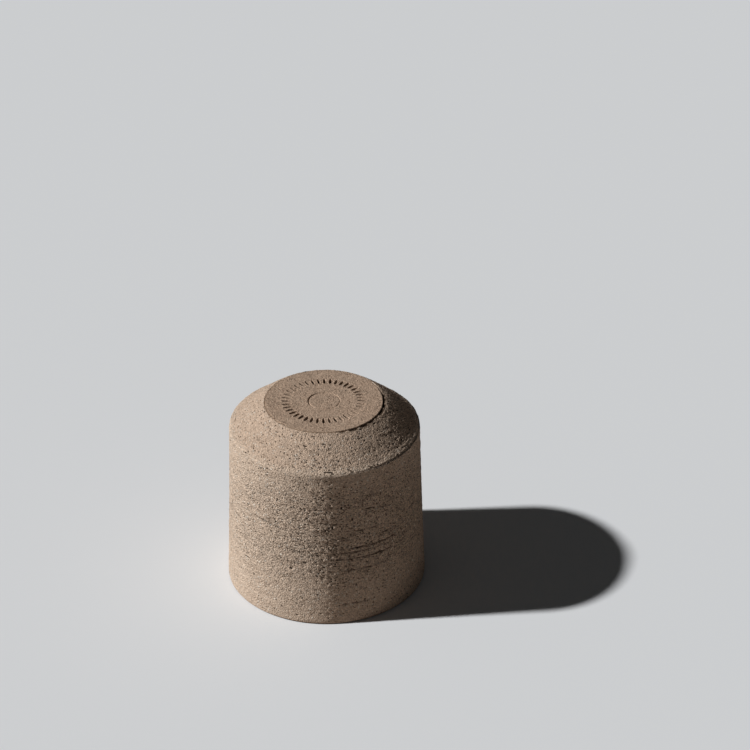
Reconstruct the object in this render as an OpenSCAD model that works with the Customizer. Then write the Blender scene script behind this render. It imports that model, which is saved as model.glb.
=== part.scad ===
// Small stoneware cup of the kulhad family, thrown in coarse groggy clay.
// It stands on its rim, mouth down. Z is up through the foot, and the origin is
// the centre of the plane that the rim rests on. All lengths are in millimetres.

/* [Cup] */
// Diameter over the rim, the widest place
rim_d = 80; // [74:1:88]
// Height from the rim to the face of the foot pad
cup_h = 80; // [72:1:92]
// How much narrower the wall is at the crest of the shoulder, on the diameter
wall_flare = 4.1; // [1:0.1:7]
// Power of the flare: 1 is a straight taper, more keeps the flare to the rim
flare_power = 1.3; // [1:0.1:2]
// Thickness of the wall between two throwing rings
wall_t = 3.8; // [3.2:0.1:4.8]
// Thickness of the floor, from the inside to the base
floor_t = 7.1; // [6.3:0.1:8.8]
// Radius of the round corner inside, between the wall and the floor
corner_r = 14; // [12:0.5:16]

/* [Lip] */
// Rounding of the lip on the outside
lip_outer_r = 1; // [0.6:0.1:1.4]
// Rounding of the lip on the inside
lip_inner_r = 1.4; // [0.9:0.1:1.6]

/* [Shoulder] */
// Height of the bevelled shoulder, from the crest to the base
shoulder_h = 10.2; // [8:0.1:12]
// Rounding of the crest, where the wall turns into the shoulder
crest_r = 1.5; // [0.6:0.1:3]
// Width of the flat ledge that is left round the foot pad's seat
ledge_w = 0.5; // [0.4:0.1:1.2]

/* [Foot pad] */
// Diameter of the stamped foot pad
pad_d = 46.6; // [42:0.2:50]
// Thickness of the foot pad
pad_t = 2.2; // [2:0.1:3]
// Height that the foot pad stands above the base
pad_proud_h = 0.4; // [0.3:0.05:0.8]
// Rounding of the foot pad's upper edge
pad_edge_r = 0.25; // [0.1:0.05:0.3]

/* [Luting slip] */
// Thickness of the slip that bonds the foot pad into its seat
slip_t = 0.3; // [0.2:0.05:0.5]
// How far the slip stays below the base, round the pad
slip_shrink = 0.2; // [0.1:0.05:0.4]

/* [Stamped ring] */
// Number of seed-shaped impressions in the ring
seed_count = 40; // [24:1:48]
// Diameter of the circle that the middles of the seeds stand on
seed_ring_d = 30; // [27:0.2:32]
// Length of one seed
seed_l = 3.2; // [2:0.1:3.6]
// Width of one seed
seed_w = 1; // [0.6:0.05:1.2]
// Depth of one seed
seed_depth = 0.6; // [0.3:0.05:0.9]
// Diameter of the plain circle in the middle
circle_d = 12.5; // [9:0.5:16]
// Width of the circle's groove
circle_w = 0.5; // [0.3:0.05:0.8]
// Depth of the circle's groove
circle_depth = 0.35; // [0.2:0.05:0.6]

/* [Throwing rings] */
// Height of one finger ring on the inside
ring_pitch = 6; // [4.5:0.5:9]
// Depth of one finger ring
ring_depth = 0.3; // [0.1:0.05:0.45]

/* [Drag lines] */
// Width of a line that a dragged grain leaves on the outside, at its deepest
drag_w = 0.8; // [0.4:0.05:1.1]
// Depth of such a line, at its deepest
drag_depth = 0.35; // [0.15:0.05:0.5]

/* [Liner glaze] */
// Thickness of the glaze inside
glaze_t = 0.35; // [0.2:0.05:0.5]
// Height above the rim at which the glaze stops
glaze_stop = 3; // [2:0.5:6]
// Height over which the glaze thins towards its edge
glaze_feather = 1.6; // [1:0.1:3]

/* [Hidden] */

// Steps of a full turn, of an arc, of the wall and of one throwing ring
$fn = 120;
arc_steps = 8;
wall_steps = 14;
ring_steps = 8;

// A cutter runs past the face that it cuts by this much
overrun = 0.5;

// The glaze's edge keeps this share of its thickness
glaze_edge_share = 0.25;

// A drag line's cutter turns past the place where the line runs out, by this share
drag_span_share = 1.15;

// Colours: raw groggy clay, the smoother stamped clay, dry slip and clear glaze
clay_colour = [0.63, 0.55, 0.47];
pad_colour = [0.60, 0.52, 0.45];
slip_colour = [0.50, 0.43, 0.37];
glaze_colour = [0.80, 0.76, 0.68];

// Levels, from the rim upwards
base_z = cup_h - pad_proud_h;
crest_z = base_z - shoulder_h;
floor_z = base_z - floor_t;
corner_z = floor_z - corner_r;
seat_z = cup_h - pad_t - slip_t;

// Radii
pad_r = pad_d / 2;
seat_r = pad_r + slip_t;
shoulder_r = seat_r + ledge_w;
crest_wall_r = (rim_d - wall_flare) / 2;
flat_r = bore_r(corner_z) - corner_r;

// Finger rings on the wall and on the floor, in whole numbers
wall_rings = max(1, round((corner_z - glaze_stop) / ring_pitch));
floor_rings = max(1, round(flat_r / ring_pitch));

// Lines left by dragged grains: height as a share of the crest's height, middle
// and reach as shares of a turn from the front, and size as a share of the
// deepest one. The front is towards -Y, and a turn runs towards +X.
drag_line_shares = [
    [0.130, 0.050, 0.030, 0.80],
    [0.353, 0.060, 0.060, 0.85],
    [0.429, 0.062, 0.070, 1.00],
    [0.473, 0.050, 0.055, 0.75],
    [0.499, 0.083, 0.090, 1.00],
    [0.555, 0.111, 0.030, 0.75],
    [0.572, 0.025, 0.020, 0.70],
    [0.610, 0.075, 0.035, 0.85],
    [0.668, 0.017, 0.020, 0.60],
    [0.828, 0.080, 0.020, 0.60],
    [0.880, 0.119, 0.020, 0.55],
    [0.230, 0.360, 0.060, 0.70],
    [0.390, 0.430, 0.080, 0.90],
    [0.450, 0.520, 0.070, 0.80],
    [0.580, 0.600, 0.050, 0.70],
    [0.300, 0.720, 0.050, 0.60],
    [0.540, 0.800, 0.045, 0.60]
];

// Outer radius of the wall at height z, from the lip to the crest
function wall_r(z) =
    let (share = min(1, max(0, (crest_z - z) / (crest_z - lip_outer_r))))
    crest_wall_r + wall_flare / 2 * pow(share, flare_power);

// Swell of a finger ring at a share of the way along a stretch of n rings
function finger_ring(share, n) = ring_depth * (1 - cos(360 * n * share)) / 2;

// Inner radius of the clay wall at height z, between two finger rings
function bore_r(z) = wall_r(z) - wall_t;

// Points on an arc about a centre, from one angle to another
function arc(centre, radius, from, to) =
    [for (i = [0 : arc_steps])
        let (a = from + (to - from) * i / arc_steps)
        centre + radius * [cos(a), sin(a)]];

function unit(v) = v / norm(v);

// A corner between two straight stretches, rounded by an arc that touches both
function rounded_corner(before, corner, after, radius) =
    let (
        u = unit(before - corner),
        v = unit(after - corner),
        half = acos(u * v) / 2,
        centre = corner + unit(u + v) * radius / sin(half),
        start = corner + u * radius / tan(half) - centre,
        end = corner + v * radius / tan(half) - centre,
        from = atan2(start[1], start[0]),
        to = atan2(end[1], end[0])
    )
    arc(centre, radius, from, to);

// Outside of the thrown body, from the rim's land up to the seat's edge
function outer_profile() =
    let (
        rise = (crest_z - lip_outer_r) / wall_steps,
        wall = [for (i = [1 : wall_steps - 1])
            let (z = lip_outer_r + i * rise)
            [wall_r(z), z]]
    )
    concat(
        arc([rim_d / 2 - lip_outer_r, lip_outer_r], lip_outer_r, -90, 0),
        wall,
        rounded_corner(wall[len(wall) - 1], [crest_wall_r, crest_z],
            [shoulder_r, base_z], crest_r),
        [[shoulder_r, base_z], [seat_r, base_z]]
    );

// Inside of the cup, from the glaze's edge up to the axis. Clay has an inset of 0,
// and the glaze's free face lies its own thickness further in.
function inner_profile(inset) =
    let (
        height = corner_z - glaze_stop,
        steps = wall_rings * ring_steps,
        wall = [for (i = [0 : steps - 1])
            let (
                rise = height * i / steps,
                thin_share = min(1, glaze_edge_share + rise / glaze_feather)
            )
            [bore_r(glaze_stop + rise) + finger_ring(i / steps, wall_rings)
                - inset * thin_share, glaze_stop + rise]],
        corner = arc([flat_r, corner_z], corner_r - inset, 0, 90),
        floor_steps = floor_rings * ring_steps,
        floor_line = [for (i = [1 : floor_steps])
            let (share = i / floor_steps)
            [flat_r * (1 - share),
                floor_z - inset - finger_ring(share, floor_rings)]]
    )
    concat(wall, corner, floor_line);

function reversed(list) = [for (i = [len(list) - 1 : -1 : 0]) list[i]];

// Wall, shoulder and floor, thrown from one lump, with the seat for the foot pad
module thrown_body() {
    inner_lip = arc([bore_r(lip_inner_r) + lip_inner_r, lip_inner_r], lip_inner_r,
        180, 270);
    color(clay_colour)
    difference() {
        rotate_extrude()
            polygon(concat(
                outer_profile(),
                [[seat_r, seat_z], [0, seat_z]],
                reversed(inner_profile(0)),
                inner_lip
            ));
        for (line = drag_line_shares)
            drag_line(line[0] * crest_z, line[1] * 360, line[2] * 360, line[3]);
    }
}

// Cutter for one drag line. An arc turned about a shifted centre bites into the
// wall in the middle and runs out at both ends, as a dragged grain does.
module drag_line(z, middle, reach, size_share) {
    depth = drag_depth * size_share;
    width = drag_w * size_share;
    shift = depth / (1 - cos(reach));
    tip_r = wall_r(z) - depth + shift;
    slope = width / 2 / depth;
    back = depth + overrun;
    span = 2 * reach * drag_span_share;
    rotate(middle - 90)
    translate([-shift, 0, z])
    rotate(-span / 2)
    rotate_extrude(angle = span)
        polygon([[tip_r, 0], [tip_r + back, -slope * back], [tip_r + back, slope * back]]);
}

// Film of slip under the foot pad and round it, which dries back from the surface
module luting_slip() {
    film_z = seat_z + slip_t;
    edge_z = base_z - slip_shrink;
    color(slip_colour)
    rotate_extrude()
        polygon([[0, seat_z], [seat_r, seat_z], [seat_r, edge_z], [pad_r, edge_z],
            [pad_r, film_z], [0, film_z]]);
}

// One seed-shaped impression, pointed at both ends, with its length along X
module seed() {
    bow_r = (seed_l * seed_l + seed_w * seed_w) / (4 * seed_w);
    translate([0, 0, cup_h - seed_depth])
    linear_extrude(seed_depth + overrun)
    intersection() {
        translate([0, bow_r - seed_w / 2]) circle(bow_r);
        translate([0, seed_w / 2 - bow_r]) circle(bow_r);
    }
}

// Smooth round pad on the foot, with a stamped ring of seeds about a plain circle
module foot_pad() {
    film_z = seat_z + slip_t;
    color(pad_colour)
    difference() {
        rotate_extrude()
            polygon(concat(
                [[0, film_z], [pad_r, film_z]],
                arc([pad_r - pad_edge_r, cup_h - pad_edge_r], pad_edge_r, 0, 90),
                [[0, cup_h]]
            ));
        for (i = [0 : seed_count - 1])
            rotate(i * 360 / seed_count)
            translate([seed_ring_d / 2, 0, 0])
            seed();
        translate([0, 0, cup_h - circle_depth])
        linear_extrude(circle_depth + overrun)
        difference() {
            circle(d = circle_d + circle_w);
            circle(d = circle_d - circle_w);
        }
    }
}

// Coat of glaze that lines the inside and thins out near the lip
module liner_glaze() {
    color(glaze_colour)
    rotate_extrude()
        polygon(concat(
            inner_profile(0),
            reversed(inner_profile(glaze_t))
        ));
}

thrown_body();
luting_slip();
foot_pad();
liner_glaze();
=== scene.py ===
"""Looks of a small cup in coarse, unglazed stoneware that stands mouth down.

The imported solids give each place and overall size. Every piece of the cup gets a finer mesh here, turned
about the z axis and worked as the clay was: thrown, scraped by its own grains, stamped and glazed.
Lengths are in metres, written as a number of millimetres times MM.
"""

import logging
import math
import random
from dataclasses import dataclass
from enum import Enum
from functools import partial

import bmesh
import bpy
from bmesh.types import BMesh, BMEdge, BMFace, BMVert
from bpy.types import Material, Node, NodeSocket, NodeTree, Object
from mathutils import Matrix, Vector, kdtree, noise


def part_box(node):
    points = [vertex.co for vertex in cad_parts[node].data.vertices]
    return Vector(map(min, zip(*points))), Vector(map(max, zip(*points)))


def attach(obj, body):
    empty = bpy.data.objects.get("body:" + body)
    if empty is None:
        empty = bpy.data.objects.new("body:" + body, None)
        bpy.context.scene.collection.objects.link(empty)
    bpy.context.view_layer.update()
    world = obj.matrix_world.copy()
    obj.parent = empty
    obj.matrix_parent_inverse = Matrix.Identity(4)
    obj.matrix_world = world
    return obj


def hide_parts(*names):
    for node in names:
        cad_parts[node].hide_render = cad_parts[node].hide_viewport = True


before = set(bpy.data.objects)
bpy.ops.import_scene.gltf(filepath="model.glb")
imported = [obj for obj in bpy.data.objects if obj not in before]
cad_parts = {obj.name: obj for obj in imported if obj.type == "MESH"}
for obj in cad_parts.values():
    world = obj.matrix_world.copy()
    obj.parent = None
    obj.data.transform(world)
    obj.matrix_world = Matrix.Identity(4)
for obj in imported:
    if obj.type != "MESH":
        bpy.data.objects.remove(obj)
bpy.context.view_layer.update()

MM = 0.001
WELD = 0.001 * MM
# Mesh attribute of painted shade: 1 where the pit colour darkens pits, grooves, the torn seam and stamp
# hollows.
PAINTED_SHADE_LAYER = "pit"

Span = tuple[float, float]
Profile = tuple[Span, ...]

# The torn part of the seam round the foot pad, in degrees from the front, turning to the right.
TORN_OPENS: Span = (8.0, 30.0)
TORN_CLOSES: Span = (100.0, 130.0)

log = logging.getLogger("cup")


class Slot(Enum):
    """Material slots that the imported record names."""

    BODY = "groggy_stoneware"
    SLIP = "dry_slip"
    PAD = "stamped_stoneware"
    GLAZE = "liner_glaze"


def linear(hex_colour: str) -> tuple[float, float, float, float]:
    """Turns an sRGB hex colour into a linear one.

    Args:
        hex_colour: six hex digits after a hash sign.

    Returns:
        Red, green, blue and an alpha of one.
    """
    channels = [int(hex_colour[i : i + 2], 16) / 255 for i in (1, 3, 5)]
    toe, slope, offset, power = 0.04045, 12.92, 0.055, 2.4
    red, green, blue = (
        c / slope if c <= toe else ((c + offset) / (1 + offset)) ** power for c in channels
    )
    return red, green, blue, 1.0


def add_node(tree: NodeTree, kind: str, inputs: dict[int | str, object], **settings: object) -> Node:
    """Adds one node with its settings, values and links.

    Args:
        tree: the node tree that gets it.
        kind: the node's type name.
        inputs: a value or a linked output for each input, by name or place.
        **settings: attributes of the node.

    Returns:
        The new node.
    """
    node = tree.nodes.new(kind)
    for name, value in settings.items():
        setattr(node, name, value)
    for key, value in inputs.items():
        if isinstance(value, NodeSocket):
            tree.links.new(value, node.inputs[key])
        else:
            node.inputs[key].default_value = value
    return node


def linked(item: Object) -> Object:
    """Links an object to the scene and hands it back."""
    bpy.context.scene.collection.objects.link(item)
    return item


def ends(name: str, span: Span) -> dict[str, float]:
    """Names the two ends of a span as inputs of a node."""
    return {f"{name} Min": span[0], f"{name} Max": span[1]}


def smooth_step(low: float, high: float, value: float) -> float:
    """Gives 0 below low and 1 above high, with an even curve between them."""
    share = min(1.0, max(0.0, (value - low) / (high - low)))
    return share * share * (3 - 2 * share)


def window(opens: Span, closes: Span, value: float) -> float:
    """Gives 1 between two spans and 0 outside them, with an even curve over each."""
    return smooth_step(*opens, value) - smooth_step(*closes, value)


def turn_of(point: Vector) -> float:
    """Gives the degrees from the front to a point, turning to the right, from -180 to 180."""
    return math.degrees(math.atan2(point.x, -point.y))


def torn_share(point: Vector) -> float:
    """Tells how far the seam round the foot pad is torn open: fully at the right, and not at the left."""
    return window(TORN_OPENS, TORN_CLOSES, turn_of(point))


# Finishes

MATH = "ShaderNodeMath"
MIX = "ShaderNodeMix"
NOISE = "ShaderNodeTexNoise"
RANGE = "ShaderNodeMapRange"
CELLS = "ShaderNodeTexVoronoi"
VECTOR_MATH = "ShaderNodeVectorMath"


@dataclass(frozen=True)
class RawStoneware:
    """Fired stoneware clay with grog, thrown or pressed and left unglazed.

    It gives the eye a matt brown-grey ground with a sandy grain, paler and darker grains of grog, and small
    torn pits and drag marks. Pits, pinholes, drag marks and the other hollows are darkened with painted
    shade, the grain's crevices with painted shade too, and the shoulder above the crest with a painted shade
    tint.
    Grog is finer than this in part, and is drawn as coarse as the render shows.

    A zone lists heights above the rim in millimetres, each with its value there. Coarseness falls to
    calm_share towards the left edge, over calm_mm. An edge says where a mark begins and where it is full: in
    cells from its middle for grog and pinholes, and as the streak's own value for drag marks.
    """

    name: str
    clay: str = "#DAC6B2"
    iron_clay: str = "#D6BFA9"
    pale_grog: str = "#F1E8DA"
    dark_grog: str = "#8A7561"
    # pit is painted shade: the dark colour laid into pits, pinholes, drag marks, the torn seam and stamp
    # hollows.
    pit: str = "#36291E"
    shoulder_shade_tint: str = "#EBE6E3"
    cloud_mm: float = 13.0
    mottle_mm: float = 2.4
    patch_mm: float = 6.0
    sand_mm: float = 0.50
    crumble_mm: float = 0.42
    crumb_mm: float = 0.50
    crumb_roughness: float = 0.65
    crumb_weight: float = 1.6
    grog_mm: float = 0.80
    pinhole_mm: float = 0.90
    drag_long_mm: float = 6.5
    drag_high_mm: float = 0.62
    sand_contrast: float = 0.21
    crevice_painted_shade: float = 0.20
    crevice_shade_span: Span = (0.05, 0.75)
    mottle_contrast: float = 0.03
    mottle_span: Span = (0.3, 0.7)
    contrast_gain: Span = (0.72, 1.65)
    pale_share: float = 0.16
    dark_share: float = 0.16
    grog_edge: Span = (0.46, 0.26)
    pinhole_share: float = 0.26
    pinhole_edge: Span = (0.38, 0.20)
    drag_share: float = 0.6
    drag_edge: Span = (0.63, 0.70)
    sand_height_mm: float = 0.31
    height_gain: Span = (0.65, 1.35)
    grog_height_mm: float = 0.12
    pinhole_depth_mm: float = 0.20
    drag_depth_mm: float = 0.16
    specular: float = 0.1
    roughness: Span = (0.62, 0.92)
    patch_span: Span = (0.3, 0.62)
    patch_least: float = 0.68
    calm_share: float = 0.5
    calm_mm: Span = (-34.0, -6.0)
    coarse_zone: Profile = ((0, 0.12), (14, 0.3), (30, 1), (56, 0.9), (64, 0.4), (69, 0.45), (80, 0.25))
    shoulder_shade_zone: Profile = ((0, 0), (69, 0), (71, 1), (80, 1))

    def material(self) -> Material:
        """Builds the material.

        Returns:
            A node material that reads Object coordinates and the pit attribute, which carries painted shade.
        """
        material = bpy.data.materials.new(self.name)
        material.use_nodes = True
        tree = material.node_tree
        add = partial(add_node, tree)
        at = add("ShaderNodeTexCoord", {}).outputs["Object"]
        mm = add(VECTOR_MATH, {0: at, "Scale": 1 / MM}, operation="SCALE").outputs[0]
        coarse = self.coarseness(tree, mm)

        cloud = add(NOISE, {"Vector": mm, "Scale": 1 / self.cloud_mm}).outputs[0]
        mottle = add(NOISE, {"Vector": mm, "Scale": 1 / self.mottle_mm}).outputs[0]
        stirring = {"Vector": mm, "Scale": 1 / self.grog_mm, "Detail": 0.0}
        stir = add(NOISE, stirring).outputs["Color"]
        bent, crumbled = (
            add(VECTOR_MATH, {0: stir, 1: (reach,) * 3, 2: mm}, operation="MULTIPLY_ADD").outputs[0]
            for reach in (self.grog_mm, self.crumble_mm)
        )
        sand = add(CELLS, {"Vector": crumbled, "Scale": 1 / self.sand_mm})
        crumbling = {"Vector": mm, "Scale": 1 / self.crumb_mm, "Roughness": self.crumb_roughness}
        crumbs = add(NOISE, crumbling).outputs[0]
        hollows = add(MATH, {0: sand.outputs["Distance"], 1: -1.0}, operation="MULTIPLY").outputs[0]
        mixed = {0: crumbs, 1: self.crumb_weight, 2: hollows}
        relief = add(MATH, mixed, operation="MULTIPLY_ADD").outputs[0]
        tone = add("ShaderNodeSeparateColor", {0: sand.outputs["Color"]}).outputs[0]

        pale, dark = self.grog(tree, bent)
        hole = self.pinholes(tree, bent, coarse)
        drag = self.drag_marks(tree, mm, coarse)
        # Painted shade: pinholes, drag marks and the mesh's painted shade layer mix the ground towards the
        # dark pit colour.
        torn = add("ShaderNodeAttribute", {}, attribute_name=PAINTED_SHADE_LAYER).outputs["Fac"]
        hollow = add(MATH, {0: hole, 1: drag}, operation="MAXIMUM").outputs[0]
        deep = add(MATH, {0: hollow, 1: torn}, operation="MAXIMUM").outputs[0]

        clays = {0: cloud, 6: linear(self.clay), 7: linear(self.iron_clay)}
        ground = add(MIX, clays, data_type="RGBA").outputs[2]
        for share, tint in ((pale, self.pale_grog), (dark, self.dark_grog)):
            ground = add(MIX, {0: share, 6: ground, 7: linear(tint)}, data_type="RGBA").outputs[2]
        # Grain tone and mottle are clay colour; the relief row is painted shade, darker in the grain's
        # hollows and lighter on its tops.
        shades = []
        for value, span, contrast, clamp in (
            (tone, (0.0, 1.0), self.sand_contrast, True),
            (mottle, self.mottle_span, self.mottle_contrast, False),
            (relief, self.crevice_shade_span, self.crevice_painted_shade, True),
        ):
            inputs = {"Value": value, **ends("From", span), **ends("To", (1 - contrast, 1 + contrast))}
            shades.append(add(RANGE, inputs, clamp=clamp).outputs[0])
        shade = shades[0]
        for more in shades[1:]:
            shade = add(MATH, {0: shade, 1: more}, operation="MULTIPLY").outputs[0]
        strength = add(RANGE, {"Value": coarse, **ends("To", self.contrast_gain)}).outputs[0]
        shade = add(MATH, {0: shade, 1: -1.0}, operation="ADD").outputs[0]
        shade = add(MATH, {0: shade, 1: strength, 2: 1.0}, operation="MULTIPLY_ADD").outputs[0]
        shaded = add(VECTOR_MATH, {0: ground, "Scale": shade}, operation="SCALE").outputs[0]
        # Painted shade: the shoulder above the crest, and the pad on it, are darkened and warmed by this
        # tint to dim the light they get.
        shoulder_shade = self.by_height(tree, mm, self.shoulder_shade_zone)
        tint = {0: shoulder_shade, 6: shaded, 7: linear(self.shoulder_shade_tint)}
        tinted = add(MIX, tint, data_type="RGBA", blend_type="MULTIPLY").outputs[2]
        colour = add(MIX, {0: deep, 6: tinted, 7: linear(self.pit)}, data_type="RGBA").outputs[2]

        low, high = self.height_gain
        gain = (low * self.sand_height_mm, high * self.sand_height_mm)
        rise = add(RANGE, {"Value": coarse, **ends("To", gain)}).outputs[0]
        height = add(MATH, {0: relief, 1: rise}, operation="MULTIPLY").outputs[0]
        for share, step_mm in (
            (pale, self.grog_height_mm),
            (hole, -self.pinhole_depth_mm),
            (drag, -self.drag_depth_mm),
        ):
            height = add(MATH, {0: share, 1: step_mm, 2: height}, operation="MULTIPLY_ADD").outputs[0]
        bump = add("ShaderNodeBump", {"Height": height, "Strength": 1.0, "Distance": MM})
        rough = add(RANGE, {"Value": tone, **ends("To", self.roughness)}).outputs[0]

        shader = tree.nodes["Principled BSDF"]
        shader.inputs["Specular IOR Level"].default_value = self.specular
        tree.links.new(rough, shader.inputs["Roughness"])
        tree.links.new(colour, shader.inputs["Base Color"])
        tree.links.new(bump.outputs["Normal"], shader.inputs["Normal"])
        return material

    def by_height(self, tree: NodeTree, mm: NodeSocket, profile: Profile) -> NodeSocket:
        """Lets a value change with the height above the rim.

        Args:
            tree: the material's node tree.
            mm: coordinates in millimetres.
            profile: heights in millimetres, each with its value, from the rim to the foot.

        Returns:
            The value, from 0 to 1.
        """
        top = profile[-1][0]
        height = add_node(tree, "ShaderNodeSeparateXYZ", {0: mm}).outputs["Z"]
        level = add_node(tree, MATH, {0: height, 1: top}, operation="DIVIDE").outputs[0]
        ramp = add_node(tree, "ShaderNodeValToRGB", {0: level})
        stops = ramp.color_ramp.elements
        while len(stops) < len(profile):
            stops.new(1.0)
        for stop, (at_mm, value) in zip(stops, profile, strict=True):
            stop.position = at_mm / top
            stop.color = (value, value, value, 1)
        return ramp.outputs[0]

    def coarseness(self, tree: NodeTree, mm: NodeSocket) -> NodeSocket:
        """Shows where the turning tool tore the surface open, by height and in patches.

        Args:
            tree: the material's node tree.
            mm: coordinates in millimetres.

        Returns:
            0 where the clay is smooth, and 1 where it is coarsest.
        """
        level = self.by_height(tree, mm, self.coarse_zone)
        patch = add_node(tree, NOISE, {"Vector": mm, "Scale": 1 / self.patch_mm, "Detail": 1.0}).outputs[0]
        spread = {"Value": patch, **ends("From", self.patch_span), "To Min": self.patch_least}
        patchy = add_node(tree, RANGE, spread).outputs[0]
        across = add_node(tree, "ShaderNodeSeparateXYZ", {0: mm}).outputs["X"]
        calm = {"Value": across, **ends("From", self.calm_mm), "To Min": self.calm_share}
        side = add_node(tree, RANGE, calm).outputs[0]
        level = add_node(tree, MATH, {0: level, 1: side}, operation="MULTIPLY").outputs[0]
        return add_node(tree, MATH, {0: level, 1: patchy}, operation="MULTIPLY").outputs[0]

    def _spots(
        self, tree: NodeTree, mm: NodeSocket, size_mm: float, edge: Span
    ) -> tuple[NodeSocket, NodeSocket]:
        """Scatters round spots.

        Args:
            tree: the material's node tree.
            mm: coordinates in millimetres.
            size_mm: how far apart the spots lie.
            edge: where a spot begins and where it is full.

        Returns:
            A number for each spot to be chosen by, and the spots, 1 inside and 0 outside.
        """
        cells = add_node(tree, CELLS, {"Vector": mm, "Scale": 1 / size_mm})
        kind = add_node(tree, "ShaderNodeSeparateColor", {0: cells.outputs["Color"]}).outputs[0]
        reach = {"Value": cells.outputs["Distance"], **ends("From", edge)}
        return kind, add_node(tree, RANGE, reach).outputs[0]

    def grog(self, tree: NodeTree, mm: NodeSocket) -> tuple[NodeSocket, NodeSocket]:
        """Scatters grains of grog.

        Args:
            tree: the material's node tree.
            mm: coordinates in millimetres.

        Returns:
            The pale grains and the dark ones, 1 in a grain and 0 outside.
        """
        kind, near = self._spots(tree, mm, self.grog_mm, self.grog_edge)
        tests = ((1 - self.pale_share, "GREATER_THAN"), (self.dark_share, "LESS_THAN"))
        grains = []
        for limit, test in tests:
            chosen = add_node(tree, MATH, {0: kind, 1: limit}, operation=test).outputs[0]
            grains.append(add_node(tree, MATH, {0: chosen, 1: near}, operation="MULTIPLY").outputs[0])
        pale, dark = grains
        return pale, dark

    def pinholes(self, tree: NodeTree, mm: NodeSocket, coarse: NodeSocket) -> NodeSocket:
        """Opens the small holes that grains leave, thickest where the clay is coarse.

        Args:
            tree: the material's node tree.
            mm: coordinates in millimetres.
            coarse: how coarse the clay is.

        Returns:
            1 in a hole and 0 outside.
        """
        kind, near = self._spots(tree, mm, self.pinhole_mm, self.pinhole_edge)
        share = add_node(tree, MATH, {0: coarse, 1: self.pinhole_share}, operation="MULTIPLY").outputs[0]
        chosen = add_node(tree, MATH, {0: kind, 1: share}, operation="LESS_THAN").outputs[0]
        return add_node(tree, MATH, {0: chosen, 1: near}, operation="MULTIPLY").outputs[0]

    def drag_marks(self, tree: NodeTree, mm: NodeSocket, coarse: NodeSocket) -> NodeSocket:
        """Draws the short level tears behind dragged grains.

        Args:
            tree: the material's node tree.
            mm: coordinates in millimetres.
            coarse: how coarse the clay is.

        Returns:
            1 in a tear and 0 outside.
        """
        size = (self.drag_long_mm, self.drag_long_mm, self.drag_high_mm)
        place = add_node(tree, VECTOR_MATH, {0: mm, 1: size}, operation="DIVIDE").outputs[0]
        streak = add_node(tree, NOISE, {"Vector": place, "Scale": 1.0, "Detail": 1.0}).outputs[0]
        line = add_node(tree, RANGE, {"Value": streak, **ends("From", self.drag_edge)}).outputs[0]
        share = add_node(tree, MATH, {0: coarse, 1: self.drag_share}, operation="MULTIPLY").outputs[0]
        return add_node(tree, MATH, {0: line, 1: share}, operation="MULTIPLY").outputs[0]


@dataclass(frozen=True)
class ClearGlaze:
    """A thin fired coat of clear, slightly milky glaze.

    It gives the eye a gloss, with the clay's warm colour and its specks below.
    """

    name: str
    glaze: str = "#C9BBA6"
    speck: str = "#8B7660"
    speck_mm: float = 1.3
    speck_detail: float = 4.0
    speck_span: Span = (0.56, 0.68)
    roughness: float = 0.14

    def material(self) -> Material:
        """Builds the material.

        Returns:
            A node material that reads Object coordinates.
        """
        material = bpy.data.materials.new(self.name)
        material.use_nodes = True
        tree = material.node_tree
        at = add_node(tree, "ShaderNodeTexCoord", {}).outputs["Object"]
        mm = add_node(tree, VECTOR_MATH, {0: at, "Scale": 1 / MM}, operation="SCALE").outputs[0]
        specking = {"Vector": mm, "Scale": 1 / self.speck_mm, "Detail": self.speck_detail}
        specks = add_node(tree, NOISE, specking).outputs[0]
        share = add_node(tree, RANGE, {"Value": specks, **ends("From", self.speck_span)}).outputs[0]
        tints = {0: share, 6: linear(self.glaze), 7: linear(self.speck)}
        colour = add_node(tree, MIX, tints, data_type="RGBA").outputs[2]
        shader = tree.nodes["Principled BSDF"]
        shader.inputs["Roughness"].default_value = self.roughness
        tree.links.new(colour, shader.inputs["Base Color"])
        return material


# Meshes


def turned(outline: list[tuple[float, float]], cuts: list[int], steps: int) -> BMesh:
    """Turns an outline about the z axis into a closed skin.

    An eighth of the turn is spun and the rest is copied, which is much quicker than one long spin.

    Args:
        outline: radius and height of each corner. It starts and ends on the axis, or is closed.
        cuts: how many times each stretch between two corners is cut.
        steps: faces round the axis, in eights.

    Returns:
        The skin, with no double points and its faces turned outwards.
    """
    doublings = 3
    wedge = math.tau / 2**doublings
    bm = bmesh.new()
    corners = [bm.verts.new((radius, 0, height)) for radius, height in outline]
    stretches = [bm.edges.new(pair) for pair in zip(corners, corners[1:])]
    for stretch, count in zip(stretches, cuts, strict=True):
        if count:
            bmesh.ops.subdivide_edges(bm, edges=[stretch], cuts=count)
    line = bm.verts[:] + bm.edges[:]
    bmesh.ops.spin(bm, geom=line, axis=(0, 0, 1), angle=wedge, steps=steps // 2**doublings)
    for i in range(doublings):
        copy = bmesh.ops.duplicate(bm, geom=bm.verts[:] + bm.edges[:] + bm.faces[:])
        moved = [item for item in copy["geom"] if isinstance(item, BMVert)]
        bmesh.ops.rotate(bm, verts=moved, cent=(0, 0, 0), matrix=Matrix.Rotation(wedge * 2**i, 3, "Z"))
    bmesh.ops.remove_doubles(bm, verts=bm.verts, dist=WELD)
    bmesh.ops.recalc_face_normals(bm, faces=bm.faces)
    return bm


def ring_at(bm: BMesh, radius: float, height: float) -> list[BMEdge]:
    """Finds the edges of the ring that passes through a point of the outline.

    Args:
        bm: a turned skin.
        radius: the ring's radius.
        height: the ring's height.

    Returns:
        The ring's edges.
    """
    ring = {
        v for v in bm.verts if abs(v.co.z - height) < WELD and abs(v.co.xy.length - radius) < WELD
    }
    return [e for e in bm.edges if ring.issuperset(e.verts)]


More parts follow.
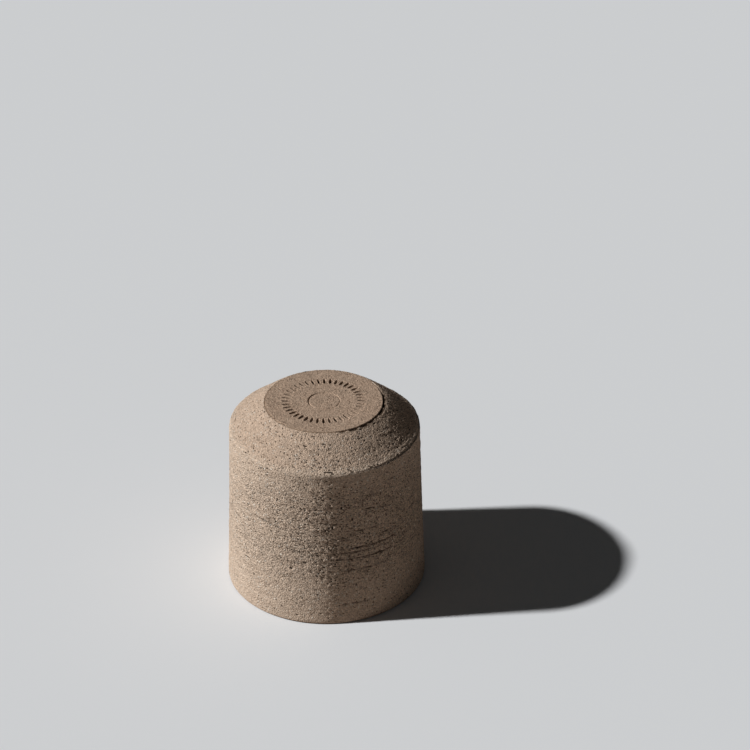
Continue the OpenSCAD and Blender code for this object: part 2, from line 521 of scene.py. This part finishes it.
def round_ring(bm: BMesh, radius: float, height: float, offset: float, segments: int) -> None:
    """Rounds the ring that passes through a point of the outline.

    Args:
        bm: a turned skin.
        radius: the ring's radius.
        height: the ring's height.
        offset: how far the rounding reaches along each side.
        segments: faces across the rounding.
    """
    bmesh.ops.bevel(
        bm,
        geom=ring_at(bm, radius, height),
        offset=offset,
        offset_type="OFFSET",
        segments=segments,
        profile=0.5,
        affect="EDGES",
        material=-1,
    )


def finish_piece(bm: BMesh, name: str, material: Material, node: str) -> Object:
    """Makes a skin into a piece of the cup.

    Args:
        bm: the finished skin, which is freed.
        name: the piece's name.
        material: its finish.
        node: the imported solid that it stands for.

    Returns:
        The piece.
    """
    mesh = bpy.data.meshes.new(name)
    bm.to_mesh(mesh)
    bm.free()
    mesh.shade_smooth()
    mesh.materials.append(material)
    piece = linked(bpy.data.objects.new(name, mesh))
    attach(piece, "root")
    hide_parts(node)
    log.info("%s: %d faces for %s", name, len(mesh.polygons), node)
    return piece


@dataclass(frozen=True)
class Patches:
    """A value that comes and goes about its level, in patches of one size."""

    size: float
    swing: float
    level: float = 0.0

    def at(self, point: Vector) -> float:
        """Gives the value at a point."""
        return self.level + self.swing * noise.noise(point / self.size)


@dataclass(frozen=True)
class HandRelief:
    """How far hand-worked clay stands off its true form: soft finger rings, lumps and a coarse grain."""

    ring_height: float = 0.07 * MM
    ring_pitch: float = 5.5 * MM
    ring_wander: float = 36.0 * MM
    lumps: Patches = Patches(9.0 * MM, 0.07 * MM)
    dents: Patches = Patches(3.0 * MM, 0.02 * MM)
    grain: Patches = Patches(1.0 * MM, 0.07 * MM)

    def height(self, point: Vector) -> float:
        """Gives the relief at a point.

        Args:
            point: a point on the true form.

        Returns:
            The distance to move it outwards.
        """
        wander = noise.noise(point / self.ring_wander)
        rings = math.sin(math.tau * (point.z / self.ring_pitch + wander)) * (0.5 + wander)
        return self.ring_height * rings + self.lumps.at(point) + self.dents.at(point) + self.grain.at(point)


@dataclass(frozen=True)
class DragLine:
    """A groove that a hard grain left in the turning wall.

    Height is in metres above the rim. The middle and the reach to each side are in degrees from the front,
    turning to the right. Strength is a share of the deepest groove.
    """

    height: float
    middle: float
    reach: float
    strength: float


@dataclass(frozen=True)
class PitShape:
    """One shape of pit: how often it is tried, and its half width, half height and depth in metres."""

    tries: int
    half_width: float
    half_height: float
    depth: float


@dataclass(frozen=True)
class PitScatter:
    """How thickly torn-out grains lie: thinly below low_zone, above high_zone and left of left_zone."""

    seed: int = 7
    wall: float = 0.06 * MM
    cluster_size: float = 7.0 * MM
    cluster_span: Span = (-0.35, 0.45)
    cluster_share: float = 0.4
    low_zone: Span = (12 * MM, 30 * MM)
    high_zone: Span = (56 * MM, 66 * MM)
    high_loss: float = 0.75
    shoulder_share: float = 0.45
    left_zone: Span = (-34 * MM, -4 * MM)
    left_share: float = 0.35
    least: float = 0.06

    SHAPES = (
        PitShape(8200, 0.28 * MM, 0.22 * MM, 0.32 * MM),
        PitShape(600, 0.52 * MM, 0.25 * MM, 0.30 * MM),
        PitShape(34, 0.62 * MM, 0.42 * MM, 0.32 * MM),
        PitShape(34, 1.5 * MM, 0.25 * MM, 0.26 * MM),
    )

    def chance(self, point: Vector, crest_z: float) -> float:
        """Gives how thickly the pits lie at a point.

        Args:
            point: a point on the outside.
            crest_z: the height at which the shoulder begins.

        Returns:
            The share of the tries there that tear a pit.
        """
        cluster = smooth_step(*self.cluster_span, noise.noise(point / self.cluster_size))
        low = smooth_step(*self.low_zone, point.z)
        high = 1 - self.high_loss * smooth_step(*self.high_zone, point.z)
        if point.z > crest_z:
            high = self.shoulder_share
        side = self.left_share + (1 - self.left_share) * smooth_step(*self.left_zone, point.x)
        spread = 1 - self.cluster_share + self.cluster_share * cluster
        return (self.least + (1 - self.least) * low * high) * spread * side


@dataclass
class ThrownBody:
    """The wall, the shoulder and the floor, thrown from one lump of groggy clay."""

    rim_r: float
    base_z: float
    seat_r: float
    seat_z: float
    floor_z: float
    flare: float = 2.05 * MM
    flare_power: float = 1.3
    wall: float = 3.8 * MM
    corner_r: float = 14.0 * MM
    corner_rows: int = 6
    shoulder_h: float = 10.2 * MM
    shoulder_sway: float = 0.11 * MM
    shoulder_lift: float = 0.3 * MM
    shoulder_sag: float = 0.58 * MM
    sag_opens: Span = (-10.0, 50.0)
    sag_closes: Span = (130.0, 170.0)
    ledge: float = 0.2 * MM
    crest_offset: float = 0.73 * MM
    crest_room: float = 1.3
    crest_rows: int = 5
    lip_outer: float = 1.0 * MM
    lip_inner: float = 1.4 * MM
    lip_room: float = 1.2
    lip_rows: int = 4
    lip_fade: float = 4.0 * MM
    wall_row: float = 0.40 * MM
    shoulder_row: float = 0.45 * MM
    steps: int = 336
    groove_depth: float = 0.36 * MM
    groove_half: float = 0.5 * MM
    groove_bend: Patches = Patches(12.0 * MM, 0.5 * MM)
    groove_shake: Patches = Patches(2.5 * MM, 0.2 * MM)
    groove_breaks: Patches = Patches(2.2 * MM, 1.4, 0.65)
    groove_painted_shade: float = 1.4
    seat_lift: float = 0.05 * MM
    seat_tear: float = 0.75 * MM
    seat_worn: float = 1.0 * MM
    seat_ragged: Patches = Patches(1.6 * MM, 1.1, 0.85)
    seat_painted_shadow: Span = (0.52 * MM, 1.3 * MM)
    stray: float = 0.2 * MM
    stray_size: float = 0.6 * MM
    stray_seed: int = 11
    pits: PitScatter = PitScatter()

    DRAG_LINES = (
        DragLine(9.0 * MM, 18, 11, 0.80),
        DragLine(24.5 * MM, 22, 20, 0.85),
        DragLine(29.8 * MM, 22, 24, 1.00),
        DragLine(32.8 * MM, 18, 18, 0.75),
        DragLine(34.6 * MM, 30, 30, 1.00),
        DragLine(38.5 * MM, 40, 9, 0.75),
        DragLine(39.7 * MM, 9, 6, 0.70),
        DragLine(42.3 * MM, 27, 12, 0.85),
        DragLine(46.4 * MM, 6, 6, 0.60),
        DragLine(57.5 * MM, 29, 6, 0.60),
        DragLine(61.1 * MM, 43, 6, 0.55),
        DragLine(16.0 * MM, 130, 20, 0.70),
        DragLine(27.1 * MM, 155, 28, 0.90),
        DragLine(31.2 * MM, 187, 25, 0.80),
        DragLine(40.3 * MM, 216, 18, 0.70),
        DragLine(20.8 * MM, 259, 18, 0.60),
        DragLine(37.5 * MM, 288, 16, 0.60),
    )

    @property
    def crest_z(self) -> float:
        """Height of the crest."""
        return self.base_z - self.shoulder_h

    @property
    def crest_r(self) -> float:
        """Radius of the crest."""
        return self.rim_r - self.flare

    def wall_r(self, height: float) -> float:
        """Gives the outer radius of the wall at a height."""
        share = (self.crest_z - height) / (self.crest_z - self.lip_outer)
        return self.crest_r + self.flare * min(1.0, max(0.0, share)) ** self.flare_power

    @property
    def shoulder_r(self) -> float:
        """Radius at which the shoulder begins."""
        return self.seat_r + self.ledge

    def skin(self) -> BMesh:
        """Turns the body's outline and rounds its lip and its crest.

        Returns:
            The smooth skin.
        """
        near_lip = self.lip_room * self.lip_inner
        near_crest = self.crest_room * self.crest_offset
        bore_rim = self.rim_r - self.wall
        corner_z = self.floor_z - self.corner_r
        corner_wall = self.wall_r(corner_z) - self.wall
        slope = Vector((self.shoulder_r - self.crest_r, self.shoulder_h)).normalized()
        crest_low = self.crest_z - near_crest
        outline = [
            (0, self.seat_z),
            (self.seat_r, self.seat_z),
            (self.seat_r, self.base_z),
            (self.shoulder_r, self.base_z),
            (self.crest_r + slope.x * near_crest, self.crest_z + slope.y * near_crest),
            (self.crest_r, self.crest_z),
            (self.crest_r, crest_low),
            (self.rim_r, near_lip),
            (self.rim_r, 0),
            (bore_rim, 0),
            (bore_rim, near_lip),
            (corner_wall, corner_z),
        ]
        for i in range(1, self.corner_rows + 1):
            turn = math.pi / 2 * i / self.corner_rows
            inset, rise = self.corner_r * (1 - math.cos(turn)), self.corner_r * math.sin(turn)
            outline.append((corner_wall - inset, corner_z + rise))
        outline.append((0, self.floor_z))
        cone_cuts = round(math.dist(outline[3], outline[4]) / self.shoulder_row)
        wall_cuts = round((crest_low - near_lip) / self.wall_row)
        lip_cuts, bore_cuts, floor_cuts = 1, 9, 2
        cuts = [0, 0, 0, cone_cuts, 0, 0, wall_cuts, 0, lip_cuts, 0, bore_cuts]
        cuts += [0] * self.corner_rows + [floor_cuts]
        bm = turned(outline, cuts, self.steps)
        round_ring(bm, self.crest_r, self.crest_z, self.crest_offset, self.crest_rows)
        round_ring(bm, self.rim_r, 0, self.lip_outer, self.lip_rows)
        round_ring(bm, bore_rim, 0, self.lip_inner, self.lip_rows)
        for vert in bm.verts:
            if self._on_wall(vert.co):
                straight = vert.co.xy.length
                share = (vert.co.z - near_lip) / (crest_low - near_lip)
                line = self.rim_r - self.flare * min(1.0, max(0.0, share))
                vert.co.xy *= (straight + self.wall_r(vert.co.z) - line) / straight
        bmesh.ops.recalc_face_normals(bm, faces=bm.faces)
        return bm

    def _on_wall(self, point: Vector) -> bool:
        """Tells whether a point lies on the outer half of the wall or the lip, below the crest."""
        outer = point.xy.length > self.wall_r(point.z) - self.wall / 2
        return outer and point.z < self.crest_z - self.crest_offset

    def _on_shoulder(self, point: Vector) -> bool:
        """Tells whether a point lies on the crest, the cone or the ledge.

        Args:
            point: any point of the skin.

        Returns:
            True on the outer half of the clay's thickness, from the crest up to the seat.
        """
        radius = point.xy.length
        if point.z < self.crest_z - self.crest_offset or self._on_seat(point):
            return False
        cone = self.crest_z + self.shoulder_h * (self.crest_r - radius) / (self.crest_r - self.shoulder_r)
        return point.z > cone - self.wall / 2

    def _on_seat(self, point: Vector) -> bool:
        """Tells whether a point lies in the pad's seat or on its edge."""
        return point.xy.length <= self.seat_r + WELD and point.z > self.floor_z + WELD

    def groove(self, point: Vector) -> float:
        """Gives the depth of the drag lines at a point.

        Args:
            point: a point on the wall.

        Returns:
            The distance to move it inwards.
        """
        turn = turn_of(point)
        flat = Vector((point.x, point.y, 0))
        height = point.z + self.groove_bend.at(flat) + self.groove_shake.at(flat)
        depth = 0.0
        for line in self.DRAG_LINES:
            away = abs((turn - line.middle + 180) % 360 - 180) / line.reach
            across = abs(height - line.height) / self.groove_half
            if away < 1 and across < 1:
                breaks = max(0.0, self.groove_breaks.at(point))
                depth += line.strength * (1 - away * away) * (1 - across) * breaks
        return self.groove_depth * depth

    def work(self, bm: BMesh, relief: HandRelief) -> None:
        """Moves the outside of the skin by the hand's relief and by the drag lines.

        Args:
            bm: the smooth skin.
            relief: how far the clay stands off its true form.
        """
        # The offsets of noise_vector come from the clock unless they are seeded.
        noise.seed_set(self.stray_seed)
        bm.normal_update()
        pits = bm.verts.layers.float.new(PAINTED_SHADE_LAYER)
        moves = []
        for vert in bm.verts:
            if self._on_wall(vert.co):
                hold = smooth_step(0, self.lip_fade, vert.co.z)
                groove = self.groove(vert.co)
                rise = relief.height(vert.co) * hold - groove
                # Painted shade: the drag lines are darkened in colour as deep as they are cut.
                vert[pits] = min(1.0, self.groove_painted_shade * groove / self.groove_depth)
                moves.append((vert, vert.normal * rise))
            elif self._on_shoulder(vert.co):
                rise = relief.height(vert.co) + self.sway(vert.co)
                wear = self.seat_wear(vert.co)
                # Painted shadow: the shoulder next to the torn seam is darkened where the pad's edge shades
                # it.
                near = 1 - smooth_step(*self.seat_painted_shadow, vert.co.xy.length - self.seat_r)
                vert[pits] = near * torn_share(vert.co) * self.ragged(vert.co)
                moves.append((vert, vert.normal * rise + Vector((0, 0, wear))))
            elif self._on_seat(vert.co) and vert.co.z > self.base_z - WELD:
                # Painted shadow in the torn seam at the pad's edge.
                torn = torn_share(vert.co) * self.ragged(vert.co)
                vert[pits] = torn
                vert.co.z -= self.seat_tear * torn
        for vert, move in moves:
            vert.co += move + self._stray(vert.co) * smooth_step(0, self.lip_fade, vert.co.z)

    def _stray(self, point: Vector) -> Vector:
        """Gives a small step aside, so that pits are not square."""
        return self.stray * noise.noise_vector(point / self.stray_size)

    def sway(self, point: Vector) -> float:
        """Gives the soft wave of the shoulder, full near the foot and sagging to the crest on the right.

        Args:
            point: a point on the shoulder.

        Returns:
            The distance to move it outwards.
        """
        share = (point.xy.length - self.shoulder_r) / (self.crest_r - self.shoulder_r)
        share = min(1.0, max(0.0, share))
        right = window(self.sag_opens, self.sag_closes, turn_of(point))
        low_end = self.shoulder_sag * right * share * share
        return self.shoulder_sway * math.sin(math.tau * share) + self.shoulder_lift * (1 - share) - low_end

    def ragged(self, point: Vector) -> float:
        """Gives how much of the torn seam is open at a point, from 0 to 1."""
        return min(1.0, max(0.0, self.seat_ragged.at(point)))

    def seat_wear(self, point: Vector) -> float:
        """Gives how the clay round the foot pad was pressed up to it, and tore away at the front right.

        Args:
            point: a point on the shoulder.

        Returns:
            The distance to move it up, below zero where it tore.
        """
        torn = torn_share(point)
        out = point.xy.length - self.seat_r
        lifted = self.seat_lift * max(0.0, 1 - out / self.ledge)
        sunk = self.seat_tear * (1 - smooth_step(0, self.seat_worn, out)) * self.ragged(point)
        return lifted * (1 - torn) - sunk * torn

    def outside(self, bm: BMesh) -> list[BMFace]:
        """Lists the faces of the outside, off the lip and the seat.

        A spin and a bevel make faces in an order that differs from run to run. The pits are drawn from this
        list, so it goes by place alone: round the cup in columns, and up each column.

        Args:
            bm: the smooth skin, where the middles of a column stand exactly above each other.

        Returns:
            The faces, in the same order on each run.
        """

        def place(face: BMFace) -> tuple[int, float]:
            """Gives the face's column, in half columns, and its height."""
            middle = face.calc_center_median()
            return round(math.atan2(middle.y, middle.x) / math.tau * 2 * self.steps), middle.z

        return sorted((f for f in bm.faces if self._is_outside(f)), key=place)

    def tear_pits(self, bm: BMesh, outside: list[BMFace]) -> None:
        """Sinks a pit into the outside for each grain that was torn out.

        Args:
            bm: the worked skin.
            outside: its outer faces, in a fixed order.
        """
        rng = random.Random(self.pits.seed)
        tree = kdtree.KDTree(len(outside))
        for index, face in enumerate(outside):
            tree.insert(face.calc_center_median(), index)
        tree.balance()
        taken: set[BMVert] = set()
        layer = bm.verts.layers.float[PAINTED_SHADE_LAYER]
        for shape in self.pits.SHAPES:
            chosen: list[BMFace] = []
            for _ in range(shape.tries):
                middle = rng.choice(outside).calc_center_median()
                if rng.random() > self.pits.chance(middle, self.crest_z):
                    continue
                faces = self._patch(tree, outside, middle, shape)
                if any(v in taken for f in faces for v in f.verts):
                    continue
                taken.update(v for f in faces for v in f.verts)
                chosen += faces
            bmesh.ops.inset_region(
                bm,
                faces=chosen,
                thickness=self.pits.wall,
                depth=-shape.depth,
                use_even_offset=True,
                use_boundary=True,
            )
            # Painted shade: the points of each pit get the dark pit colour.
            for face in chosen:
                for vert in face.verts:
                    vert[layer] = 1.0
            log.info("pits %.2f mm deep: %d faces", shape.depth / MM, len(chosen))

    def _is_outside(self, face: BMFace) -> bool:
        """Tells whether a face lies on the outside.

        Args:
            face: any face of the smooth skin.

        Returns:
            True off the lip and the seat.
        """
        middle = face.calc_center_median()
        if middle.z > self.crest_z:
            return middle.xy.length > self.seat_r + 2 * WELD
        return middle.z > 2 * self.lip_inner and self._on_wall(middle)

    @staticmethod
    def _patch(
        tree: kdtree.KDTree, faces: list[BMFace], middle: Vector, shape: PitShape
    ) -> list[BMFace]:
        """Picks the faces of one pit.

        Args:
            tree: the faces' middles.
            faces: the faces, in the tree's order.
            middle: the pit's middle.
            shape: how far it reaches round the wall, and up and down.

        Returns:
            The faces inside an ellipse.
        """
        around = Vector((-middle.y, middle.x, 0)).normalized()
        found = []
        for place, index, _ in tree.find_range(middle, max(shape.half_width, shape.half_height)):
            step = place - middle
            across = step.dot(around)
            along = math.sqrt(max(0.0, step.length_squared - across**2)) / shape.half_height
            across /= shape.half_width
            if across * across + along * along < 1:
                found.append(faces[index])
        return found

    def build(self, clay: Material) -> Object:
        """Builds the piece.

        Args:
            clay: its finish.

        Returns:
            The thrown body.
        """
        bm = self.skin()
        outside = self.outside(bm)
        self.work(bm, HandRelief())
        self.tear_pits(bm, outside)
        return finish_piece(bm, "thrown_clay_body", clay, "thrown_body")


@dataclass
class FootPad:
    """The smooth disc on the foot, with a stamped ring of seeds about a plain circle."""

    radius: float
    low_z: float
    top_z: float
    edge: float = 0.25 * MM
    edge_room: float = 1.6
    edge_rows: int = 4
    side_cuts: int = 2
    spacing: float = 0.17 * MM
    steps: int = 600
    seed_count: int = 40
    seed_ring_r: float = 15.0 * MM
    seed_l: float = 3.2 * MM
    seed_w: float = 1.0 * MM
    seed_depth: float = 0.85 * MM
    seed_wall: float = 0.32
    seed_uneven: Patches = Patches(1.0, 0.4, 0.72)
    seed_lean: float = 0.35
    deep_side: float = 155.0
    stamp_painted_shade: float = 0.9
    stamp_shade_span: Span = (0.3, 0.9)
    circle_r: float = 6.25 * MM
    circle_w: float = 0.5 * MM
    circle_depth: float = 0.45 * MM
    circle_wall: float = 0.5
    pushed_up: float = 0.12

    def skin(self) -> BMesh:
        """Turns the pad's outline and rounds its edge.

        Returns:
            The smooth skin.
        """
        near_edge = self.edge_room * self.edge
        rows = round((self.radius - near_edge) / self.spacing) - 1
        outline = [
            (0, self.low_z),
            (self.radius, self.low_z),
            (self.radius, self.top_z - near_edge),
            (self.radius, self.top_z),
            (self.radius - near_edge, self.top_z),
            (0, self.top_z),
        ]
        bm = turned(outline, [0, self.side_cuts, 0, 0, rows], self.steps)
        round_ring(bm, self.radius, self.top_z, self.edge, self.edge_rows)
        return bm

    def stamp(self, point: Vector) -> float:
        """Gives the depth of the stamp at a point.

        Args:
            point: a point on the pad's face.

        Returns:
            The distance to move it down. It is below zero where clay was pushed up.
        """
        radius = point.xy.length
        turn = math.atan2(point.y, point.x)
        place = turn / math.tau * self.seed_count
        index = round(place)
        across = abs(place - index) * math.tau / self.seed_count * radius / (self.seed_w / 2)
        along = abs(radius - self.seed_ring_r) / (self.seed_l / 2)
        deep = 0.5 + 0.5 * math.cos(turn - math.radians(self.deep_side))
        uneven = self.seed_uneven.at(Vector((index % self.seed_count, 0.5, 0.5))) + self.seed_lean * deep
        seed = self._press(math.hypot(across, along), self.seed_wall) * self.seed_depth * uneven
        ring = abs(radius - self.circle_r) / (self.circle_w / 2)
        circle = self._press(ring, self.circle_wall) * self.circle_depth * (0.5 + 0.5 * deep)
        return seed + circle

    def _press(self, reach: float, slope: float) -> float:
        """Gives the section of an impression.

        Args:
            reach: distance from its middle, as a share of its half width.
            slope: the share of the half width that the sides take.

        Returns:
            Its depth as a share of the full depth, below zero in the rim of clay pushed up beside it.
        """
        outside = smooth_step(1 - slope, 1 + slope, reach)
        away = smooth_step(1 + slope, 1 + 3 * slope, reach)
        return 1 - outside - self.pushed_up * (outside - away)

    def build(self, clay: Material) -> Object:
        """Builds the piece.

        Args:
            clay: its finish.

        Returns:
            The foot pad.
        """
        bm = self.skin()
        relief = HandRelief(
            ring_height=0.0,
            lumps=Patches(11.0 * MM, 0.10 * MM),
            dents=Patches(2.4 * MM, 0.03 * MM),
            grain=Patches(0.8 * MM, 0.045 * MM),
        )
        bm.normal_update()
        pits = bm.verts.layers.float.new(PAINTED_SHADE_LAYER)
        for vert in bm.verts:
            if vert.co.z > self.top_z - 2 * self.edge:
                depth = self.stamp(vert.co)
                # Painted shade in the stamp's deepest parts.
                vert[pits] = self.stamp_painted_shade * smooth_step(*self.stamp_shade_span, depth / self.seed_depth)
                vert.co += vert.normal * (relief.height(vert.co) - depth)
        return finish_piece(bm, "stamped_foot_pad", clay, "foot_pad")


@dataclass
class LutingSlip:
    """The film of slip under the foot pad and round it, dried back below the surface."""

    pad_r: float
    seat_r: float
    seat_z: float
    film_z: float
    edge_z: float
    squeezed: float = 0.45 * MM
    sunk: float = 0.85 * MM
    uneven: Patches = Patches(0.9 * MM, 0.1 * MM)
    steps: int = 304

    def build(self, slip: Material) -> Object:
        """Builds the piece.

        Args:
            slip: its finish.

        Returns:
            The luting slip.
        """
        outline = [
            (0, self.seat_z),
            (self.seat_r, self.seat_z),
            (self.seat_r, self.edge_z),
            (self.pad_r, self.edge_z),
            (self.pad_r, self.film_z),
            (0, self.film_z),
        ]
        bm = turned(outline, [0, 1, 1, 1, 0], self.steps)
        pits = bm.verts.layers.float.new(PAINTED_SHADE_LAYER)
        for vert in bm.verts:
            if vert.co.z > self.edge_z - WELD:
                torn = torn_share(vert.co)
                # Painted shadow: the torn part of the slip is darkened.
                vert[pits] = torn
                vert.co.z += self.squeezed * (1 - torn) - self.sunk * torn + self.uneven.at(vert.co)
        return finish_piece(bm, "luting_slip_film", slip, "luting_slip")


@dataclass
class LinerGlaze:
    """The coat of glaze inside, with the finger rings of the thrown wall under it."""

    body: ThrownBody
    stop_z: float
    thickness: float = 0.35 * MM
    edge_share: float = 0.25
    feather: float = 1.6 * MM
    ring_pitch: float = 6.0 * MM
    ring_depth: float = 0.3 * MM
    rows_a_ring: int = 8
    corner_rows: int = 10
    edge_wave: Patches = Patches(9.0 * MM, 0.5 * MM)
    steps: int = 240

    def _swell(self, row: int) -> float:
        """Gives how deep a finger ring is at a row."""
        return self.ring_depth * (1 - math.cos(math.tau * row / self.rows_a_ring)) / 2

    def _outline(self, inset: float) -> list[tuple[float, float]]:
        """Gives the inside of the cup from the glaze's edge up to the axis.

        Args:
            inset: how far the face lies off the clay.

        Returns:
            Radius and height of each corner.
        """
        body = self.body
        corner_z = body.floor_z - body.corner_r
        flat_r = body.wall_r(corner_z) - body.wall - body.corner_r
        rings = round((corner_z - self.stop_z) / self.ring_pitch)
        rows = rings * self.rows_a_ring
        points = []
        for i in range(rows):
            rise = (corner_z - self.stop_z) * i / rows
            thin = min(1.0, self.edge_share + rise / self.feather)
            radius = body.wall_r(self.stop_z + rise) - body.wall + self._swell(i) - inset * thin
            points.append((radius, self.stop_z + rise))
        for i in range(self.corner_rows + 1):
            turn = math.pi / 2 * i / self.corner_rows
            reach = body.corner_r - inset
            points.append((flat_r + reach * math.cos(turn), corner_z + reach * math.sin(turn)))
        floor_rows = round(flat_r / self.ring_pitch) * self.rows_a_ring
        for i in range(1, floor_rows + 1):
            points.append((flat_r * (1 - i / floor_rows), body.floor_z - inset - self._swell(i)))
        return points

    def build(self, glaze: Material) -> Object:
        """Builds the piece.

        Args:
            glaze: its finish.

        Returns:
            The liner glaze.
        """
        outline = self._outline(0)[::-1] + self._outline(self.thickness)
        bm = turned(outline, [0] * (len(outline) - 1), self.steps)
        for vert in bm.verts:
            if vert.co.z < self.stop_z + self.feather / 2:
                vert.co.z += self.edge_wave.at(vert.co)
        return finish_piece(bm, "liner_glaze_coat", glaze, "liner_glaze")


# Studio


@dataclass(frozen=True)
class Studio:
    """A pale floor, a sun-like key light from the left, a weak sky and the photograph's viewpoint."""

    floor_half: float = 3.0
    floor_colour: str = "#E4E6E8"
    floor_roughness: float = 0.9
    floor_specular: float = 0.1
    bounce_colour: str = "#A89D96"
    sun_height: float = 38.6
    sun_turn: float = 4.1
    sun_strength: float = 3.75
    sun_softness: float = 2.5
    sky_light: float = 0.031
    sky_shown: str = "#D2D3D4"
    camera_place: tuple[float, float, float] = (20.2 * MM, -1078.5 * MM, 745.4 * MM)
    camera_drop: float = 31.217
    camera_roll: float = -0.354
    lens: float = 153.6
    sensor: float = 36.0

    def floor(self) -> None:
        """Lays the floor."""
        bm = bmesh.new()
        bmesh.ops.create_grid(bm, x_segments=1, y_segments=1, size=self.floor_half)
        mesh = bpy.data.meshes.new("floor")
        bm.to_mesh(mesh)
        bm.free()
        paper = bpy.data.materials.new("matt_white_board")
        paper.use_nodes = True
        shader = paper.node_tree.nodes["Principled BSDF"]
        # The bounce is kept low and warm, as if the patch of sunlight ended just outside the picture.
        seen = add_node(paper.node_tree, "ShaderNodeLightPath", {}).outputs["Is Camera Ray"]
        shades = {0: seen, 6: linear(self.bounce_colour), 7: linear(self.floor_colour)}
        board = add_node(paper.node_tree, MIX, shades, data_type="RGBA").outputs[2]
        paper.node_tree.links.new(board, shader.inputs["Base Color"])
        shader.inputs["Roughness"].default_value = self.floor_roughness
        shader.inputs["Specular IOR Level"].default_value = self.floor_specular
        mesh.materials.append(paper)
        floor = linked(bpy.data.objects.new("floor", mesh))

    def key_light(self) -> None:
        """Hangs the key light."""
        height, turn = math.radians(self.sun_height), math.radians(self.sun_turn)
        across = math.cos(height)
        towards = Vector((-across * math.cos(turn), -across * math.sin(turn), math.sin(height)))
        lamp = bpy.data.lights.new("key_light", "SUN")
        lamp.energy = self.sun_strength
        lamp.angle = math.radians(self.sun_softness)
        light = linked(bpy.data.objects.new("key_light", lamp))
        light.rotation_euler = towards.to_track_quat("Z", "Y").to_euler()

    def sky(self) -> None:
        """Sets a weak sky for the light, and a pale one behind the cup in views from low down."""
        world = bpy.data.worlds.new("studio")
        bpy.context.scene.world = world
        world.use_nodes = True
        tree = world.node_tree
        shown = add_node(tree, "ShaderNodeBackground", {"Color": linear(self.sky_shown)})
        weak = tree.nodes["Background"]
        weak.inputs["Color"].default_value = (1, 1, 1, 1)
        weak.inputs["Strength"].default_value = self.sky_light
        rays = add_node(tree, "ShaderNodeLightPath", {}).outputs["Is Camera Ray"]
        both = add_node(tree, "ShaderNodeMixShader", {0: rays, 1: weak.outputs[0], 2: shown.outputs[0]})
        tree.links.new(both.outputs[0], tree.nodes["World Output"].inputs["Surface"])

    def camera(self) -> None:
        """Sets up the camera at the photograph's viewpoint."""
        lens = bpy.data.cameras.new("camera")
        lens.lens = self.lens
        lens.sensor_width = self.sensor
        camera = linked(bpy.data.objects.new("camera", lens))
        camera.location = self.camera_place
        camera.rotation_mode = "XYZ"
        drop = math.radians(self.camera_drop)
        look = Vector((0, math.cos(drop), -math.sin(drop))).to_track_quat("-Z", "Y").to_matrix().to_4x4()
        look = look @ Matrix.Rotation(math.radians(self.camera_roll), 4, Vector((0, 0, 1)))
        camera.rotation_euler = look.to_euler()
        bpy.context.scene.camera = camera

    def build(self) -> None:
        """Sets up the floor, the lights, the camera and plain colour management."""
        self.floor()
        self.key_light()
        self.sky()
        self.camera()
        bpy.context.scene.view_settings.view_transform = "Standard"


def build_cup() -> list[Object]:
    """Builds the cup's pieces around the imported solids.

    Returns:
        The four pieces.
    """
    _, body_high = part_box("thrown_body")
    pad_low, pad_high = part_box("foot_pad")
    slip_low, slip_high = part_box("luting_slip")
    glaze_low, glaze_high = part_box("liner_glaze")
    body = ThrownBody(
        rim_r=body_high.x,
        base_z=body_high.z,
        seat_r=slip_high.x,
        seat_z=slip_low.z,
        floor_z=glaze_high.z,
    )
    pad = FootPad(radius=pad_high.x, low_z=pad_low.z, top_z=pad_high.z)
    slip = LutingSlip(
        pad_r=pad_high.x,
        seat_r=slip_high.x,
        seat_z=slip_low.z,
        film_z=pad_low.z,
        edge_z=slip_high.z,
    )
    glaze = LinerGlaze(body=body, stop_z=glaze_low.z)
    raw = RawStoneware("thrown_groggy_stoneware")
    pressed = RawStoneware(
        "stamped_groggy_stoneware",
        clay="#C2AD99",
        iron_clay="#C0A791",
        pale_grog="#CBB9A5",
        dark_grog="#7E6757",
        sand_height_mm=0.16,
        grog_height_mm=0.03,
        pinhole_depth_mm=0.1,
        pinhole_share=0.06,
        drag_share=0.0,
        sand_contrast=0.24,
        crevice_painted_shade=0.34,
        mottle_contrast=0.08,
    )
    dry = RawStoneware("dry_luting_slip", clay="#B8A28C", iron_clay="#B39A82", pale_grog="#C2B19E")
    return [
        body.build(raw.material()),
        slip.build(dry.material()),
        pad.build(pressed.material()),
        glaze.build(ClearGlaze("clear_liner_glaze").material()),
    ]


def main() -> None:
    """Builds the cup and the studio."""
    logging.basicConfig(level=logging.INFO, format="%(name)s: %(message)s")
    for piece in build_cup():
        log.info("built %s", piece.name)
    Studio().build()


if __name__ == "__main__":
    main()
